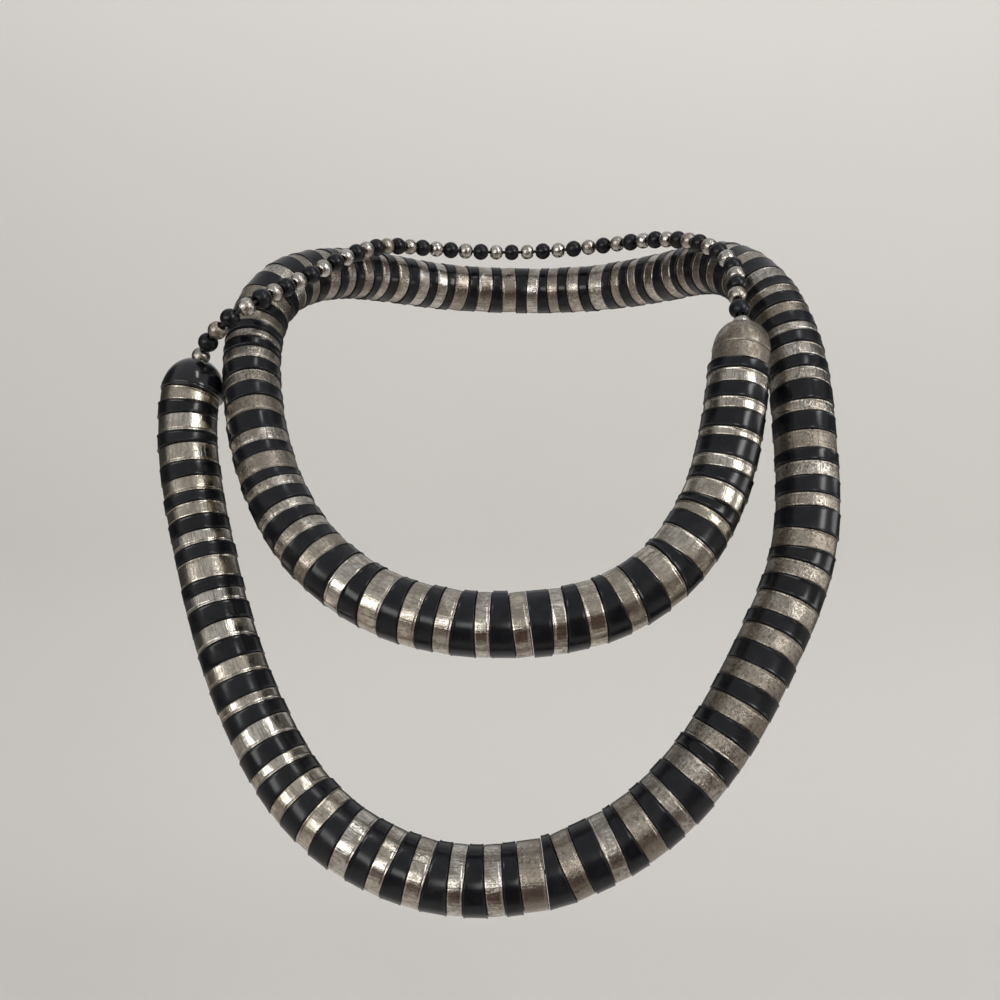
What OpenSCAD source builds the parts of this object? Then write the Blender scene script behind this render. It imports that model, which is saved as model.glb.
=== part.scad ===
// Disc bead necklace, worn twice round the neck and made as one closed string.
// A thick rope of metal rings and black discs ends in a black dome and a metal cap.
// A thin strand of small round beads joins the two caps behind the neck.
// Lengths are in millimetres. X runs to the wearer's left, Y to the back and Z up.
// The origin is at the nape, where the inner side of the rope rests on the neck.

/* [Rope] */
// diameter of the black discs
disc_d = 17; // [15.5:0.1:17]
// diameter of the metal rings
ring_d = 16.4; // [14.5:0.1:16.6]
// how far the lengths and the lean differ from piece to piece, 0 for all alike
unevenness = 1; // [0:0.1:1]
// bore of the rings, the discs and the two caps
rope_bore = 3; // [2.6:0.1:4]
// clearance between neighbouring pieces
gap = 0.12; // [0.1:0.01:0.2]

/* [End caps] */
// diameter of the black dome
dome_d = 17.9; // [16:0.1:18]
// height of the black dome
dome_h = 11.7; // [11:0.1:12]
// diameter of the metal cap's band
band_d = 15.6; // [14:0.1:16.6]
// height of the metal cap's band
band_h = 5.2; // [4.5:0.1:5.5]
// height of the metal cap's crown
crown_h = 8; // [7.5:0.1:8.5]
// diameter of the metal cap at its mouth
mouth_d = 6; // [5.8:0.1:8]

/* [Small beads] */
// diameter of the small metal beads
metal_bead_d = 5.4; // [5:0.1:5.4]
// diameter of the small black beads
black_bead_d = 5.8; // [5:0.1:5.8]
// least distance from one bead to the next
bead_step = 5.7; // [5.7:0.05:6.5]
// bore of the small beads
bead_bore = 2.4; // [2.2:0.1:2.4]

/* [Thread] */
// diameter of the thread
thread_d = 1.2; // [0.8:0.1:1.2]

/* [Hidden] */
$fn = 48;

metal = [0.74, 0.71, 0.66];
black = [0.1, 0.1, 0.11];
cord = [0.2, 0.18, 0.17];

// Guide points of the rope from the black dome to the metal cap.
// columns: across, back (negative is towards the chest), up
rope_rows = [
    [-97.5, -68.5, -46.5], [-97.5, -72, -67], [-90, -79, -93], [-82, -87, -117],
    [-70, -97, -140], [-52.5, -108.5, -161.5], [-25, -114, -174], [4.5, -115, -173],
    [30, -113.5, -161.5], [50, -108.5, -141], [64, -102, -117.5], [76, -97, -94],
    [78, -88.5, -67], [79, -78.5, -39], [75.5, -62, -16.5], [67.5, -42, -2.5],
    [54, -16, -1], [29, 5, -1], [0, 10.5, 0], [-29, 5, 0],
    [-53, -17, 0], [-69, -42, -6], [-80, -57, -19], [-80.5, -67, -41],
    [-74, -80, -67], [-60.5, -93, -92.5], [-35, -104.5, -109], [-7, -108.5, -112.5],
    [22.5, -107.5, -109.5], [45, -103, -92.5], [55.5, -96, -67], [60, -87.5, -41.5]
];

// Guide points of the strand from the metal cap back to the black dome, same columns.
strand_rows = [
    [62, -85, -32.5], [61, -78, -21], [65.5, -66, -11], [60.5, -51.5, 1],
    [49, -28, 9.5], [31.5, -8, 12], [0, 1, 11.5], [-31, -8, 11],
    [-47, -28, 7.5], [-56.5, -48.5, -3.5], [-70.5, -62.5, -16], [-75.5, -78, -23],
    [-87, -77, -30.5], [-95.5, -65.5, -37]
];

// The rope's pieces from the black dome to the metal cap, cut by hand and so uneven.
// columns: length of the ring, its lean in degrees, length of the disc after it
cut_rows = [
    [4.3, -1, 3.9], [5.2, -1, 4.2], [5.5, 1, 4.6], [4.4, -2, 3.8], [4, 1, 4.5], [3.9, 0, 3.9],
    [6.3, -2, 3.9], [3.7, -1, 6.1], [5.3, 3, 5.2], [4.9, -4, 6], [3.2, -5, 5.2], [5.5, -1, 5.2],
    [3.2, -3, 5], [4.1, 1, 4.6], [4.4, 1, 4.9], [5, 0, 4.5], [4.2, -3, 4.5], [4.5, -3, 5.3],
    [3.9, 0, 4.9], [4.4, 1, 3.9], [6.1, -4, 4.8], [4.8, 5, 5.1], [4.3, -4, 3.9], [5.7, -1, 4.3],
    [3.8, -1, 5.5], [5.3, 0, 4.1], [4.5, 2, 4.1], [5.2, 1, 4.8], [4.9, 0, 5], [5.1, -5, 4.2],
    [5.5, -4, 5.3], [4.4, -3, 4.4], [5, 1, 6], [3.7, -1, 4.9], [4.1, 0, 3.6], [5.2, 0, 5.5],
    [3.4, 1, 4.9], [4.1, -5, 3.6], [4.4, -4, 4.8], [3, 6, 3.8], [3.7, 8, 3.9], [3.2, 7, 3.1],
    [4.9, 4, 5.5], [4.9, 5, 5.4], [4.4, 5, 4], [4, 2, 5.1], [3.5, -1, 4], [4.1, -3, 4.8],
    [4.2, 5, 4.7], [3.5, -3, 4.3], [3.5, 1, 4.5], [5.3, 2, 5.3], [4.6, -3, 4.5], [3.9, -2, 4.1],
    [4.3, 3, 5.1], [5.3, -3, 4.6], [5.2, 2, 5.2], [5.1, 5, 4.3], [4.2, 2, 4.4], [4.4, 2, 5.3],
    [4.7, 0, 4.7], [3.6, 5, 4.8], [4.5, -3, 4.3], [3.9, -2, 4], [5.1, 2, 5.5], [3.5, 2, 4.1],
    [4.7, -4, 5.4], [5, -4, 4.6], [3.8, 2, 3.4], [2.8, 7, 2.9], [4, 3, 4.8], [4, 6, 4.5],
    [5.2, 2, 5.5], [4.1, -4, 4], [5.4, -5, 3], [3.1, -7, 5.7], [3.2, -2, 4.8], [4, 0, 4.3],
    [4.5, -3, 5.9], [4.8, -2, 4.8], [5.8, 0, 4.5], [4.7, -1, 3.8], [4.5, -4, 5], [3.8, 1, 5.1],
    [4.3, 5, 5.1], [3.6, -4, 4.5], [4.7, -3, 4.6], [4.7, 1, 5.6], [5.5, -4, 4.1], [5.5, 2, 4.4],
    [3, -6, 3.5], [5, -2, 4.5], [3.5, 4, 5.5], [2.5, 4, 5.5], [3.3, 4, 4.1], [4, 1, 3.3]
];

rows = concat(rope_rows, strand_rows);
row_count = len(rows);
parts_per_row = 16;
neck_axis = [0, -57.5];

// The dome sits askew on the end of the rope, a little lower than the end of the spline.
dome_drop = 0.9;
dome_shift = [0.4, -0.2, -dome_drop];
dome_way = [0.12, 0.28, 0.95];

// The course is a closed spline through the guide points, read at a row number.
function share(t) = [
    pow(1 - t, 3),
    3 * pow(t, 3) - 6 * pow(t, 2) + 4,
    -3 * pow(t, 3) + 3 * pow(t, 2) + 3 * t + 1,
    pow(t, 3)
] / 6;
function share_slope(t) = [
    -3 * pow(1 - t, 2),
    9 * pow(t, 2) - 12 * t,
    -9 * pow(t, 2) + 6 * t + 3,
    3 * pow(t, 2)
] / 6;
function row_at(i) = rows[(i + row_count) % row_count];
function mixed(i, w) =
    w[0] * row_at(i - 1) + w[1] * row_at(i) + w[2] * row_at(i + 1) + w[3] * row_at(i + 2);
function point_at(r) = mixed(floor(r), share(r - floor(r)));
function slope_at(r) = mixed(floor(r), share_slope(r - floor(r)));
function heading_at(r) = slope_at(r) / norm(slope_at(r));

// The distance along the string is added up in small steps and looked up again.
fine = [for (k = [0 : row_count * parts_per_row]) point_at(k / parts_per_row)];
distances = [
    for (k = 0, s = 0; k < len(fine); s = s + norm(fine[min(k + 1, len(fine) - 1)] - fine[k]), k = k + 1)
        [s, k / parts_per_row]
];
rope_len = distances[(len(rope_rows) - 1) * parts_per_row][0];
whole_len = distances[len(distances) - 1][0];
function row_of(s) = lookup(s, distances);

// The cut lengths are evened out as far as asked, and stretched together to fill the rope.
pair_count = len(cut_rows);
function column_sum(c, k = 0) = k == pair_count ? 0 : cut_rows[k][c] + column_sum(c, k + 1);
mean_ring = column_sum(0) / pair_count;
mean_disc = column_sum(2) / pair_count;
stretch = rope_len / (column_sum(0) + column_sum(2));
function ring_len(j) = stretch * (mean_ring + unevenness * (cut_rows[j][0] - mean_ring));
function disc_len(j) = stretch * (mean_disc + unevenness * (cut_rows[j][2] - mean_disc));
pair_starts = [
    for (j = 0, s = 0; j <= pair_count; s = s + (j < pair_count ? ring_len(j) + disc_len(j) : 0), j = j + 1) s
];
function ring_s(j) = pair_starts[j] + ring_len(j) / 2;
function disc_s(j) = pair_starts[j] + ring_len(j) + disc_len(j) / 2;

// The end beads of the strand are let into the tops of the caps, and both are metal.
dome_rise = 0.9;
mouth_rise = 0.9;
first_bead_s = rope_len + band_h + crown_h + mouth_rise;
last_bead_s = whole_len - dome_h - dome_rise + dome_drop;
bead_gaps = 2 * floor((last_bead_s - first_bead_s) / bead_step / 2);
function bead_s(k) = first_bead_s + k * (last_bead_s - first_bead_s) / bead_gaps;
function bead_point(k) = point_at(row_of(bead_s(k)));

function unit(v) = v / norm(v);

// The side of the string at a heading, square to the way out from the neck.
function away_at(p) = [p.x - neck_axis.x, p.y - neck_axis.y, 0];
function side_at(r) = unit(cross(heading_at(r), away_at(point_at(r))));

// A ring leans sideways on the string, so its axis is turned from the heading.
function ring_axis(j) =
    let (r = row_of(ring_s(j)))
        unit(heading_at(r) - tan(unevenness * cut_rows[j][1]) * side_at(r));

// Puts a piece that is drawn along Z at a point, pointing a given way.
module along(point, way) {
    translate(point)
        rotate([0, acos(way.z / norm(way)), atan2(way.y, way.x)])
            children();
}

module onto_string(s) {
    along(point_at(row_of(s)), heading_at(row_of(s))) children();
}

module onto_ring(j) {
    along(point_at(row_of(ring_s(j))), ring_axis(j)) children();
}

module onto_dome() {
    along(point_at(0) + dome_shift, dome_way) children();
}

// The room on one side of a plane, used to cut pieces to length.
module room_above(z) {
    translate([-20, -20, z]) cube([40, 40, 20]);
}

module room_below(z) {
    translate([-20, -20, z - 20]) cube([40, 40, 20]);
}

module drilled_disc(d, from, to) {
    translate([0, 0, from])
        difference() {
            cylinder(d = d, h = to - from);
            translate([0, 0, -1]) cylinder(d = rope_bore, h = to - from + 2);
        }
}

// The first ring is cut by the dome's base, the others are straight.
module silver_discs() {
    color(metal) {
        difference() {
            onto_ring(0) drilled_disc(ring_d, -ring_len(0) / 2 - 3, ring_len(0) / 2);
            onto_dome() room_above(-gap);
        }
        for (j = [1 : pair_count - 1])
            onto_ring(j) drilled_disc(ring_d, -ring_len(j) / 2, ring_len(j) / 2);
    }
}

// Each black disc is cut by its two neighbours' faces, so it is a wedge where they aren't parallel.
module black_discs() {
    color(black)
        for (j = [0 : pair_count - 1])
            difference() {
                onto_string(disc_s(j)) drilled_disc(disc_d, -disc_len(j) / 2 - 3, disc_len(j) / 2 + 3);
                onto_ring(j) room_below(ring_len(j) / 2 + gap);
                if (j < pair_count - 1)
                    onto_ring(j + 1) room_above(-ring_len(j + 1) / 2 - gap);
                else
                    onto_string(rope_len) room_above(-gap);
            }
}

// The dome is half an egg, taller than it is wide at its base.
dome_steps = 10;
function dome_turn(k) = 90 * k / dome_steps;

// Its bore follows the thread, which bends on its way to the end bead.
dome_bore_from = point_at(row_of(whole_len - 0.15 * dome_h));
dome_bore_to = point_at(row_of(whole_len - 0.85 * dome_h));
module black_end_cap() {
    profile = [
        for (k = [0 : dome_steps - 1])
            [dome_d / 2 * cos(dome_turn(k)), dome_h * sin(dome_turn(k))]
    ];
    color(black)
        difference() {
            onto_dome() rotate_extrude() polygon(concat([[0, 0]], profile, [[0, dome_h]]));
            along(dome_bore_from, dome_bore_to - dome_bore_from)
                translate([0, 0, -6]) cylinder(d = rope_bore, h = 2 * dome_h);
            translate(bead_point(bead_gaps)) sphere(d = metal_bead_d + 2 * gap);
        }
}

// The crown is a quarter of an ellipse from the band to the mouth.
crown_steps = 8;
function crown_turn(k) = 90 * k / crown_steps;

module silver_end_cap() {
    crown = [
        for (k = [0 : crown_steps])
            [mouth_d / 2 + (band_d - mouth_d) / 2 * cos(crown_turn(k)), band_h + crown_h * sin(crown_turn(k))]
    ];
    base = point_at(row_of(rope_len));
    color(metal)
        difference() {
            onto_string(rope_len)
                rotate_extrude()
                    polygon(concat([[0, 0], [band_d / 2, 0]], crown, [[0, band_h + crown_h]]));
            along(base, bead_point(0) - base)
                translate([0, 0, -2]) cylinder(d = rope_bore, h = norm(bead_point(0) - base) + 2);
            translate(bead_point(0)) sphere(d = metal_bead_d + 2 * gap);
        }
}

module drilled_bead(k, d) {
    onto_string(bead_s(k))
        difference() {
            sphere(d = d);
            cylinder(d = bead_bore, h = d + 1, center = true);
        }
}

module silver_beads() {
    color(metal)
        for (k = [0 : 2 : bead_gaps]) drilled_bead(k, metal_bead_d);
}

module black_beads() {
    color(black)
        for (k = [1 : 2 : bead_gaps - 1]) drilled_bead(k, black_bead_d);
}

// The thread is one closed tube with a ring of corners at every pair and every half bead.
// Inside the caps its rings are a quarter of the way apart.
thread_sides = 8;
thread_s = concat(
    pair_starts,
    [for (k = [1 : 3]) rope_len + k * (first_bead_s - rope_len) / 4],
    [for (k = [0 : 2 * bead_gaps]) bead_s(k / 2)],
    [for (k = [1 : 3]) last_bead_s + k * (whole_len - last_bead_s) / 4]
);
function thread_corner(s, k) =
    let (
        r = row_of(s),
        side = side_at(r),
        out = cross(side, heading_at(r)),
        turn = 360 * k / thread_sides
    )
        point_at(r) + thread_d / 2 * (cos(turn) * side + sin(turn) * out);

module thread() {
    rings = len(thread_s);
    corners = [for (s = thread_s, k = [0 : thread_sides - 1]) thread_corner(s, k)];
    function corner(i, k) = (i % rings) * thread_sides + k % thread_sides;
    faces = [
        for (i = [0 : rings - 1], k = [0 : thread_sides - 1], half = [0, 1])
            half == 0
                ? [corner(i, k), corner(i, k + 1), corner(i + 1, k + 1)]
                : [corner(i, k), corner(i + 1, k + 1), corner(i + 1, k)]
    ];
    color(cord) polyhedron(points = corners, faces = faces);
}

silver_discs();
black_discs();
black_end_cap();
silver_end_cap();
silver_beads();
black_beads();
thread();
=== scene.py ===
# %% [markdown]
# # Dressing a disc bead necklace
# The necklace is one closed string. A thick rope of metal rings and black discs goes twice
# round the neck, and a thin strand of small round beads joins its two ends behind the neck.
# The CAD model gives every piece its place and its size. This script gives each piece the shape
# of its edges and its finish. The pieces are worked out in millimetres and made in metres, in
# the CAD model's own frame.

import math

import bpy
import numpy as np
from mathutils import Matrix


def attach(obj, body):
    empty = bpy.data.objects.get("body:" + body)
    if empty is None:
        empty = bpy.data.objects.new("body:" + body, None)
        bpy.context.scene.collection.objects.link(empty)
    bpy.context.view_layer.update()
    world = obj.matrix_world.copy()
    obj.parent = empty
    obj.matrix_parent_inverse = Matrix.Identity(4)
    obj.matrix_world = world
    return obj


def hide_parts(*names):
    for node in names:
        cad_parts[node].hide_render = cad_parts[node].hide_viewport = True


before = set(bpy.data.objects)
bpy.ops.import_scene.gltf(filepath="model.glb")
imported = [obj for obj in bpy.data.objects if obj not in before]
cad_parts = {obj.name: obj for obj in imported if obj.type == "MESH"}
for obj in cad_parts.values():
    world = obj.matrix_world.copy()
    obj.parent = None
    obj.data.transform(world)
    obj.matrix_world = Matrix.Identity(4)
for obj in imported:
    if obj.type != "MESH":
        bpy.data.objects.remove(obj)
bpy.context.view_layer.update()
print("CAD nodes:", sorted(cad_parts))

# %% [markdown]
# ## The camera
# A camera is set by where it stands, where it looks and how wide it sees. This one stands about
# a third of a metre in front of the nape and level with the middle of the necklace. That is so
# near that the discs at the bottom look a fifth wider than those beside the neck. Its width of
# view is given as a focal length in pixels, and Blender wants millimetres on a sensor, so one is
# turned into the other.

# %% Set up the camera
MM = 0.001
picture_px = 1000
focal_px = 900
sensor_mm = 36
camera_place = np.array([-5.8, -334.5, -80])
camera_data = bpy.data.cameras.new("camera")
camera_data.sensor_width = sensor_mm
camera_data.lens = focal_px / picture_px * sensor_mm
camera_data.clip_start = 10 * MM
camera = bpy.data.objects.new("camera", camera_data)
camera.location = camera_place * MM
camera.rotation_euler = (math.radians(90), 0, 0)
bpy.context.scene.collection.objects.link(camera)
bpy.context.scene.camera = camera
print(f"lens {camera_data.lens:.1f} mm")

# %% [markdown]
# ## The course of the string
# A string of beads hangs in one smooth curve. The CAD model draws it as a closed B-spline over
# a table of guide points, and this script repeats the table, so that each detailed bead lands
# exactly where its solid is. The lengths of the rings and discs come from a second table,
# because the real ones are uneven, as if cut by hand.

# %% Guide points of the rope and the strand
# columns: across, back (negative is towards the chest), up, in millimetres
rope_rows = [
    (-97.5, -68.5, -46.5), (-97.5, -72, -67), (-90, -79, -93), (-82, -87, -117),
    (-70, -97, -140), (-52.5, -108.5, -161.5), (-25, -114, -174), (4.5, -115, -173),
    (30, -113.5, -161.5), (50, -108.5, -141), (64, -102, -117.5), (76, -97, -94),
    (78, -88.5, -67), (79, -78.5, -39), (75.5, -62, -16.5), (67.5, -42, -2.5),
    (54, -16, -1), (29, 5, -1), (0, 10.5, 0), (-29, 5, 0),
    (-53, -17, 0), (-69, -42, -6), (-80, -57, -19), (-80.5, -67, -41),
    (-74, -80, -67), (-60.5, -93, -92.5), (-35, -104.5, -109), (-7, -108.5, -112.5),
    (22.5, -107.5, -109.5), (45, -103, -92.5), (55.5, -96, -67), (60, -87.5, -41.5),
]
strand_rows = [
    (62, -85, -32.5), (61, -78, -21), (65.5, -66, -11), (60.5, -51.5, 1),
    (49, -28, 9.5), (31.5, -8, 12), (0, 1, 11.5), (-31, -8, 11),
    (-47, -28, 7.5), (-56.5, -48.5, -3.5), (-70.5, -62.5, -16), (-75.5, -78, -23),
    (-87, -77, -30.5), (-95.5, -65.5, -37),
]
# columns: length of a ring, its lean in degrees, length of the disc after it
cut_rows = [
    (4.3, -1, 3.9), (5.2, -1, 4.2), (5.5, 1, 4.6), (4.4, -2, 3.8), (4, 1, 4.5), (3.9, 0, 3.9),
    (6.3, -2, 3.9), (3.7, -1, 6.1), (5.3, 3, 5.2), (4.9, -4, 6), (3.2, -5, 5.2), (5.5, -1, 5.2),
    (3.2, -3, 5), (4.1, 1, 4.6), (4.4, 1, 4.9), (5, 0, 4.5), (4.2, -3, 4.5), (4.5, -3, 5.3),
    (3.9, 0, 4.9), (4.4, 1, 3.9), (6.1, -4, 4.8), (4.8, 5, 5.1), (4.3, -4, 3.9), (5.7, -1, 4.3),
    (3.8, -1, 5.5), (5.3, 0, 4.1), (4.5, 2, 4.1), (5.2, 1, 4.8), (4.9, 0, 5), (5.1, -5, 4.2),
    (5.5, -4, 5.3), (4.4, -3, 4.4), (5, 1, 6), (3.7, -1, 4.9), (4.1, 0, 3.6), (5.2, 0, 5.5),
    (3.4, 1, 4.9), (4.1, -5, 3.6), (4.4, -4, 4.8), (3, 6, 3.8), (3.7, 8, 3.9), (3.2, 7, 3.1),
    (4.9, 4, 5.5), (4.9, 5, 5.4), (4.4, 5, 4), (4, 2, 5.1), (3.5, -1, 4), (4.1, -3, 4.8),
    (4.2, 5, 4.7), (3.5, -3, 4.3), (3.5, 1, 4.5), (5.3, 2, 5.3), (4.6, -3, 4.5), (3.9, -2, 4.1),
    (4.3, 3, 5.1), (5.3, -3, 4.6), (5.2, 2, 5.2), (5.1, 5, 4.3), (4.2, 2, 4.4), (4.4, 2, 5.3),
    (4.7, 0, 4.7), (3.6, 5, 4.8), (4.5, -3, 4.3), (3.9, -2, 4), (5.1, 2, 5.5), (3.5, 2, 4.1),
    (4.7, -4, 5.4), (5, -4, 4.6), (3.8, 2, 3.4), (2.8, 7, 2.9), (4, 3, 4.8), (4, 6, 4.5),
    (5.2, 2, 5.5), (4.1, -4, 4), (5.4, -5, 3), (3.1, -7, 5.7), (3.2, -2, 4.8), (4, 0, 4.3),
    (4.5, -3, 5.9), (4.8, -2, 4.8), (5.8, 0, 4.5), (4.7, -1, 3.8), (4.5, -4, 5), (3.8, 1, 5.1),
    (4.3, 5, 5.1), (3.6, -4, 4.5), (4.7, -3, 4.6), (4.7, 1, 5.6), (5.5, -4, 4.1), (5.5, 2, 4.4),
    (3, -6, 3.5), (5, -2, 4.5), (3.5, 4, 5.5), (2.5, 4, 5.5), (3.3, 4, 4.1), (4, 1, 3.3),
]
print(len(rope_rows), "rope rows,", len(strand_rows), "strand rows,", len(cut_rows), "pairs")

# %% [markdown]
# ## The smooth curve
# A cubic B-spline blends four neighbouring rows of the table with weights that slide along it,
# so it has no kink. Blender's own curves can do that too, but each piece needs the place and the
# heading at an exact distance. So the curve is worked out here, and a fine table of distances
# finds the row number that belongs to each.

# %% Work out the curve from the guide points
rows = np.array(rope_rows + strand_rows, float)
parts_per_row = 16
neck_axis = np.array([0, -57.5])


def mixed_rows(r, weights):
    first = int(math.floor(r))
    return sum(weights[k] * rows[(first - 1 + k) % len(rows)] for k in range(4))


def point_at(r):
    t = r - math.floor(r)
    weights = [(1 - t) ** 3, 3 * t**3 - 6 * t**2 + 4, -3 * t**3 + 3 * t**2 + 3 * t + 1, t**3]
    return mixed_rows(r, weights) / 6


def heading_at(r):
    t = r - math.floor(r)
    weights = [-3 * (1 - t) ** 2, 9 * t**2 - 12 * t, -9 * t**2 + 6 * t + 3, 3 * t**2]
    return unit(mixed_rows(r, weights))


def unit(v):
    return v / np.linalg.norm(v)


row_numbers = np.arange(len(rows) * parts_per_row + 1) / parts_per_row
fine_points = np.array([point_at(r) for r in row_numbers])
fine_steps = np.linalg.norm(np.diff(fine_points, axis=0), axis=1)
distances = np.concatenate([[0], np.cumsum(fine_steps)])
rope_len = distances[(len(rope_rows) - 1) * parts_per_row]
whole_len = distances[-1]


def row_of(s):
    return float(np.interp(s, distances, row_numbers))


print(f"rope {rope_len:.1f} mm, whole string {whole_len:.1f} mm")

# %% [markdown]
# ## Where each piece sits
# A turned piece needs a middle, an axis, and two directions square to the axis. The axis of a
# disc is the heading of the string. A ring leans a few degrees, pushed by neighbours that aren't
# quite square. The two other directions are taken from the way out from the neck, so that they
# don't spin along the string. The dome sits a little askew on the first ring, with a shift and
# an axis of its own.

# %% Find the distances along the string
gap = 0.12
band_h, crown_h = 5.2, 8
dome_h = 11.7
dome_rise, mouth_rise = 0.9, 0.9
dome_drop = 0.9
bead_step = 5.7
cuts = np.array(cut_rows, float)
pair_count = len(cuts)
stretch = rope_len / (cuts[:, 0].sum() + cuts[:, 2].sum())
ring_len = stretch * cuts[:, 0]
disc_len = stretch * cuts[:, 2]
pair_starts = np.concatenate([[0], np.cumsum(ring_len + disc_len)])
ring_s = pair_starts[:-1] + ring_len / 2
disc_s = pair_starts[:-1] + ring_len + disc_len / 2
first_bead_s = rope_len + band_h + crown_h + mouth_rise
last_bead_s = whole_len - dome_h - dome_rise + dome_drop
bead_gaps = 2 * int((last_bead_s - first_bead_s) / bead_step / 2)
bead_s = np.linspace(first_bead_s, last_bead_s, bead_gaps + 1)
print(f"{pair_count} rings and discs, stretched by {stretch:.4f} to fill the rope")

# %% Find the middle and the axes of each piece
dome_shift = np.array([0.4, -0.2, -dome_drop])
dome_way = np.array([0.12, 0.28, 0.95])


def place(middle, axis):
    """Returns the middle, the axis and the two directions across it, sideways and out."""
    away = np.array([middle[0] - neck_axis[0], middle[1] - neck_axis[1], 0])
    side = unit(np.cross(axis, away))
    return middle, axis, side, np.cross(side, axis)


def on_string(s):
    return place(point_at(row_of(s)), heading_at(row_of(s)))


def on_ring(j):
    middle, heading, side, out = on_string(ring_s[j])
    return place(middle, unit(heading - math.tan(math.radians(cuts[j, 1])) * side))


dome_base = point_at(0) + dome_shift
dome_bead = point_at(row_of(last_bead_s))
dome_place = place(dome_base, unit(dome_way))
cap_place = on_string(rope_len)
cap_bead = point_at(row_of(first_bead_s))
print(f"{bead_gaps + 1} small beads, {bead_s[1] - bead_s[0]:.2f} mm apart")

# %% [markdown]
# ## Turned pieces as one mesh
# Rings, discs and beads are all turned forms: an outline that goes round an axis. Blender has a
# Screw modifier for that, but here there are more than two hundred pieces, each with its own
# length, lean and small faults. So the outline is turned in numpy, and all pieces of a kind are
# joined in one mesh. An outline is a list of rows. Each says at what share of the length it is,
# how many more millimetres along, and how far out. Waves and slip only move what is outside the
# core, so that the bore keeps to the thread.

# %% Turn an outline
core_radius = 5


def plane_height(across, spot, plane):
    """How far along the axis a line parallel to it meets a plane, for each corner."""
    middle, axis = spot[:2]
    plane_point, plane_way = plane
    return ((plane_point - middle - across) @ plane_way) / (axis @ plane_way)


def turned(spot, outline, ends, segments, slip=(0, 0), wave=None, spin=0.0):
    """Turns an outline of (share of the length, extra mm, radius) between two end planes."""
    middle, axis, side, out = spot
    turn = spin + np.arange(segments) * 2 * math.pi / segments
    around = np.cos(turn)[:, None] * side + np.sin(turn)[:, None] * out
    grid, own, from_end = [], [], []
    for share, extra, radius in outline:
        across = radius * around
        if radius > core_radius and wave is not None:
            across = (radius + wave(turn, share))[:, None] * around
        if radius > core_radius:
            across = across + (slip[0] * side + slip[1] * out)
        low = plane_height(across, spot, ends[0])
        high = plane_height(across, spot, ends[1])
        along = low + share * (high - low) + extra
        grid.append(middle + across + along[:, None] * axis)
        own.append(np.stack([radius * np.cos(turn), radius * np.sin(turn), along], 1))
        from_end.append(np.minimum(along - low, high - along))
    return np.array(grid), np.array(own), np.array(from_end)


def plane_off(spot, along):
    """The plane across a piece's axis, so many millimetres from its middle."""
    return spot[0] + along * spot[1], spot[1]


def end_planes(spot, low, high):
    return plane_off(spot, low), plane_off(spot, high)


# %% [markdown]
# ## What each corner keeps
# A material can only vary over a piece if the mesh tells it where it is. So each corner keeps
# its own place on the piece in millimetres, how far it is from the nearer end, a tone that
# differs from piece to piece, how worn the piece is, and how far round it is from the seam of
# the sheet, which on a few rings also places a painted reflection line. Blender calls such values
# attributes, and a material reads them by name.

# %% Join the pieces of a kind in one mesh
def joined_object(name, pieces, sharp_deg=50):
    """Joins turned grids, whose outlines are closed, into one mesh object with its values."""
    corners, quads, values = [], [], {}
    start = 0
    for grid, own, from_end, marks in pieces:
        count = grid.shape[0] * grid.shape[1]
        index = start + np.arange(count).reshape(grid.shape[:2])
        next_row = np.roll(index, -1, 0)
        quad = np.stack([index, np.roll(index, -1, 1), np.roll(next_row, -1, 1), next_row], -1)
        corners.append(grid.reshape(-1, 3))
        quads.append(quad.reshape(-1, 4))
        turn = np.arctan2(own[..., 1], own[..., 0])
        from_seam_and_reflection = np.abs((turn - marks["seam"] + math.pi) % (2 * math.pi) - math.pi)
        for key, numbers in {
            "own_mm": own + marks["pattern"], "from_end_mm": from_end,
            "tone": np.full(count, marks["tone"]), "wear": np.full(count, marks["wear"]),
            "seam_and_reflection_mm": from_seam_and_reflection * np.hypot(own[..., 0], own[..., 1]),
        }.items():
            values.setdefault(key, []).append(numbers.ravel())
        start += count
    corners = np.concatenate(corners) * MM
    quads = np.concatenate(quads)
    first, second, third, fourth = (corners[quads[:, k]] for k in range(4))
    volume = (np.cross(second - first, third - first) * first).sum()
    volume += (np.cross(third - first, fourth - first) * first).sum()
    if volume < 0:
        quads = quads[:, ::-1]
    mesh = bpy.data.meshes.new(name)
    mesh.from_pydata(corners.tolist(), [], quads.tolist())
    mesh.polygons.foreach_set("use_smooth", np.ones(len(quads), bool))
    for key, parts in values.items():
        kind, slot = ("FLOAT_VECTOR", "vector") if key == "own_mm" else ("FLOAT", "value")
        numbers = np.concatenate(parts).astype(np.float32)
        mesh.attributes.new(key, kind, "POINT").data.foreach_set(slot, numbers)
    mesh.set_sharp_from_angle(angle=math.radians(sharp_deg))
    piece = bpy.data.objects.new(name, mesh)
    bpy.context.scene.collection.objects.link(piece)
    print(f"{name}: {len(pieces)} parts, {2 * len(quads)} triangles")
    return piece


# %% [markdown]
# ## Chance, and how worn the necklace is
# No two of the real pieces are the same, so each draws its tone, its seam and its place in the
# pattern by chance. The draws start from a fixed number, so that they come out the same each
# time. Wear follows a table along the rope, because the metal is bright on one side of the outer
# loop, and dull and stained on the other.

# %% Draw what differs from piece to piece
chance = np.random.default_rng(7)
pattern_mm = 60
wear_scatter = 0.12
# columns: distance along the rope in millimetres, wear there, from 0 for new to 1
wear_rows = [
    (0, 0.18), (120, 0.22), (160, 0.3), (195, 0.6), (235, 0.8), (255, 0.95), (345, 0.88),
    (385, 0.6), (600, 0.6), (640, 0.8), (690, 0.65), (715, 0.32), (790, 0.28), (864, 0.25),
]


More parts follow.
